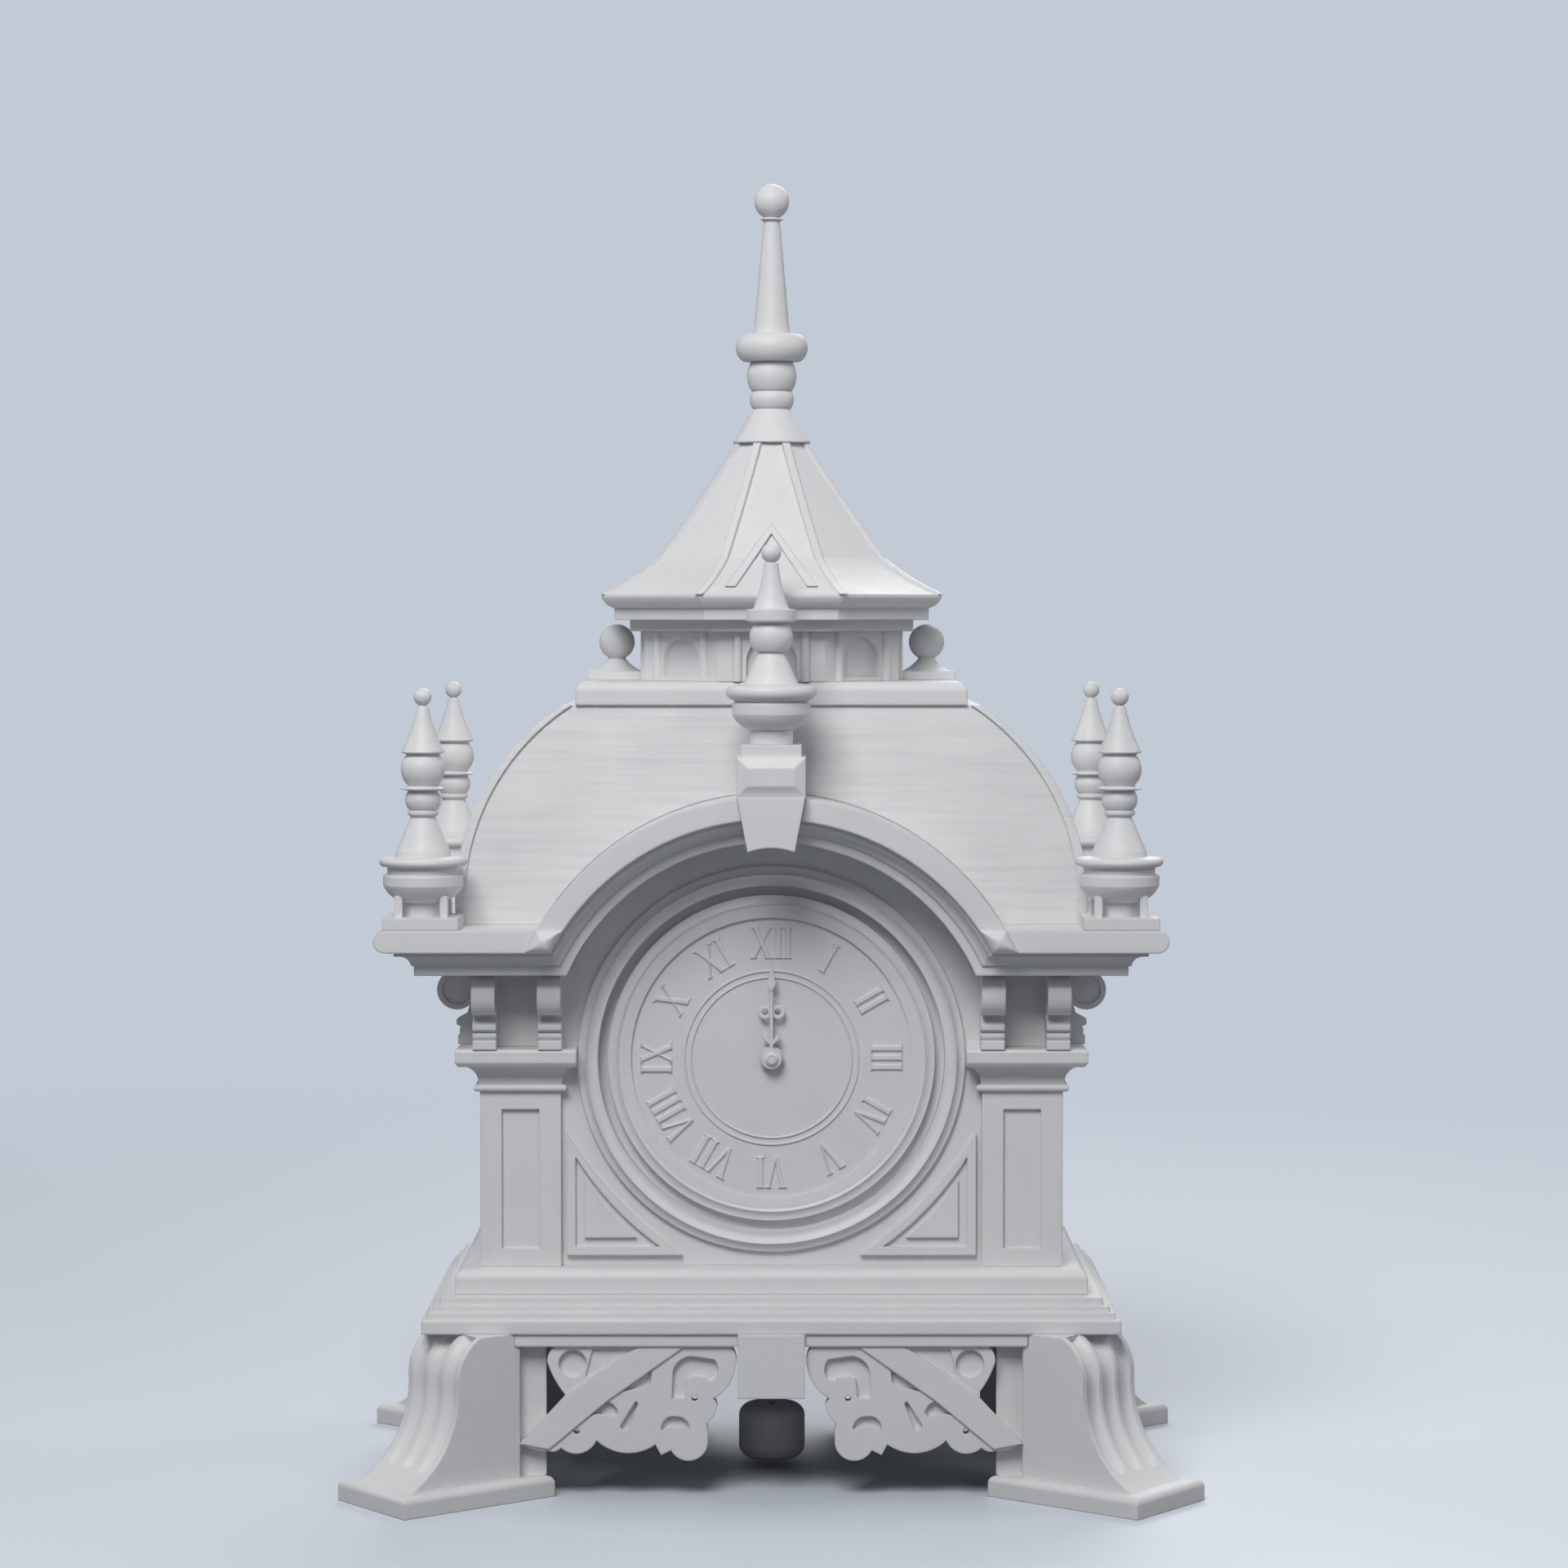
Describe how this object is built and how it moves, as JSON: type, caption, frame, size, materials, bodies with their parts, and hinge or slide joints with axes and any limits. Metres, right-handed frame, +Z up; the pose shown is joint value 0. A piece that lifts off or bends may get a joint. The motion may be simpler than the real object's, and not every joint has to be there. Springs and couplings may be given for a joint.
{
  "type": "steeple clock",
  "caption": "Mantel clock with a steeple: splayed scroll legs, fretwork, arched cornice, dome and turned finials round a dial, with a spring-driven pendulum movement.",
  "frame": {"origin": "on the floor under the middle of the case", "axes": "+X to the right seen from the dial side, +Y towards the rear door, +Z up"},
  "size_m": [0.3282, 0.2218, 0.5038],
  "materials": {
    "case_wood": "matte white paint",
    "dial_metal": "matte white paint",
    "brass": "polished",
    "bob_metal": "matte white paint",
    "steel": "fine ground"
  },
  "bodies": {
    "case": {"leg_front_left": "case_wood", "leg_front_right": "case_wood", "leg_rear_left": "case_wood", "leg_rear_right": "case_wood", "apron_rails": "case_wood", "drop_blocks": "case_wood", "fret_front_left": "case_wood", "fret_front_right": "case_wood", "fret_rear_left": "case_wood", "fret_rear_right": "case_wood", "frets_side": "case_wood", "base_moulding": "case_wood", "plinth": "case_wood", "front_wall": "case_wood", "side_wall_left": "case_wood", "side_wall_right": "case_wood", "rear_wall": "case_wood", "pilaster_front_left": "case_wood", "pilaster_front_right": "case_wood", "pilaster_rear_left": "case_wood", "pilaster_rear_right": "case_wood", "scroll_brackets": "case_wood", "cornice": "case_wood", "keystone": "case_wood", "keystone_block": "case_wood", "front_finial": "case_wood", "corner_finials": "case_wood", "dome": "case_wood", "roof_platform": "case_wood", "ball_finials": "case_wood", "belfry": "case_wood", "roof": "case_wood", "spire": "case_wood", "dial_plate": "dial_metal", "bezel": "dial_metal", "front_plate": "brass", "back_plate": "brass", "pillars": "brass", "suspension_cock": "brass", "door_hinge_pins": "brass"},
    "minute": {"centre_arbor": "brass", "cannon_pinion": "brass", "minute_hand": "dial_metal", "hand_nut": "dial_metal"},
    "hour": {"hour_wheel": "brass", "hour_hand": "dial_metal"},
    "motion": {"motion_wheel": "brass"},
    "third": {"third_wheel": "brass"},
    "escape": {"escape_wheel": "brass"},
    "barrel": {"barrel": "brass", "mainspring": "steel"},
    "winding": {"winding_arbor": "steel", "winding_key": "brass"},
    "click": {"click": "steel"},
    "anchor": {"anchor": "steel"},
    "pendulum": {"pendulum_rod": "steel"},
    "bob": {"pendulum_bob": "bob_metal"},
    "nut": {"rating_nut": "brass"},
    "door": {"back_door": "case_wood"},
    "latch": {"door_latch": "brass"}
  },
  "joints": [
    {"name": "minute_spin", "type": "hinge", "parent": "case", "child": "minute", "pos_m": [0, -0.025, 0.1653], "axis": [0, 1, 0], "continuous": true},
    {"name": "hour_spin", "type": "hinge", "parent": "case", "child": "hour", "pos_m": [0, -0.025, 0.1653], "axis": [0, 1, 0], "continuous": true},
    {"name": "motion_spin", "type": "hinge", "parent": "case", "child": "motion", "pos_m": [0.0096, -0.039, 0.1581], "axis": [0, 1, 0], "continuous": true},
    {"name": "third_spin", "type": "hinge", "parent": "case", "child": "third", "pos_m": [-0.01599, -0.025, 0.18477], "axis": [0, 1, 0], "continuous": true},
    {"name": "escape_spin", "type": "hinge", "parent": "case", "child": "escape", "pos_m": [0, -0.025, 0.19929], "axis": [0, 1, 0], "continuous": true},
    {"name": "barrel_spin", "type": "hinge", "parent": "case", "child": "barrel", "pos_m": [-0.01944, -0.025, 0.13938], "axis": [0, 1, 0], "continuous": true},
    {"name": "winding_turn", "type": "hinge", "parent": "case", "child": "winding", "pos_m": [-0.01944, -0.025, 0.13938], "axis": [0, 1, 0], "range_deg": [0, 2520]},
    {"name": "click_lift", "type": "hinge", "parent": "case", "child": "click", "pos_m": [-0.03416, -0.0106, 0.14788], "axis": [0, 1, 0], "range_deg": [0, 12], "stiffness_Nm_per_rad": 0.01},
    {"name": "pendulum_swing", "type": "hinge", "parent": "case", "child": "pendulum", "pos_m": [0, -0.006, 0.22179], "axis": [0, 1, 0], "range_deg": [-3, 3]},
    {"name": "anchor_rock", "type": "hinge", "parent": "case", "child": "anchor", "pos_m": [0, -0.006, 0.22179], "axis": [0, 1, 0], "range_deg": [-3, 3]},
    {"name": "bob_height", "type": "slide", "parent": "pendulum", "child": "bob", "axis": [0, 0, 1], "range_m": [-0.0005, 0.002]},
    {"name": "nut_turn", "type": "hinge", "parent": "bob", "child": "nut", "pos_m": [0, -0.006, 0.0055], "axis": [0, 0, 1], "range_deg": [-360, 1440]},
    {"name": "door_hinge", "type": "hinge", "parent": "case", "child": "door", "pos_m": [0.0674, 0.0534, 0.141], "axis": [0, 0, -1], "range_deg": [0, 100]},
    {"name": "latch_turn", "type": "hinge", "parent": "door", "child": "latch", "pos_m": [-0.054, 0.05, 0.141], "axis": [0, -1, 0], "range_deg": [0, 90]}
  ],
  "couplings": [
    {"joint": "hour_spin", "follows": "minute_spin", "ratio": 0.083333},
    {"joint": "motion_spin", "follows": "minute_spin", "ratio": -0.33333},
    {"joint": "third_spin", "follows": "minute_spin", "ratio": -11},
    {"joint": "escape_spin", "follows": "minute_spin", "ratio": 121},
    {"joint": "barrel_spin", "follows": "minute_spin", "ratio": -0.125},
    {"joint": "anchor_rock", "follows": "pendulum_swing", "ratio": 1},
    {"joint": "nut_turn", "follows": "bob_height", "rad_per_m": 12566}
  ]
}
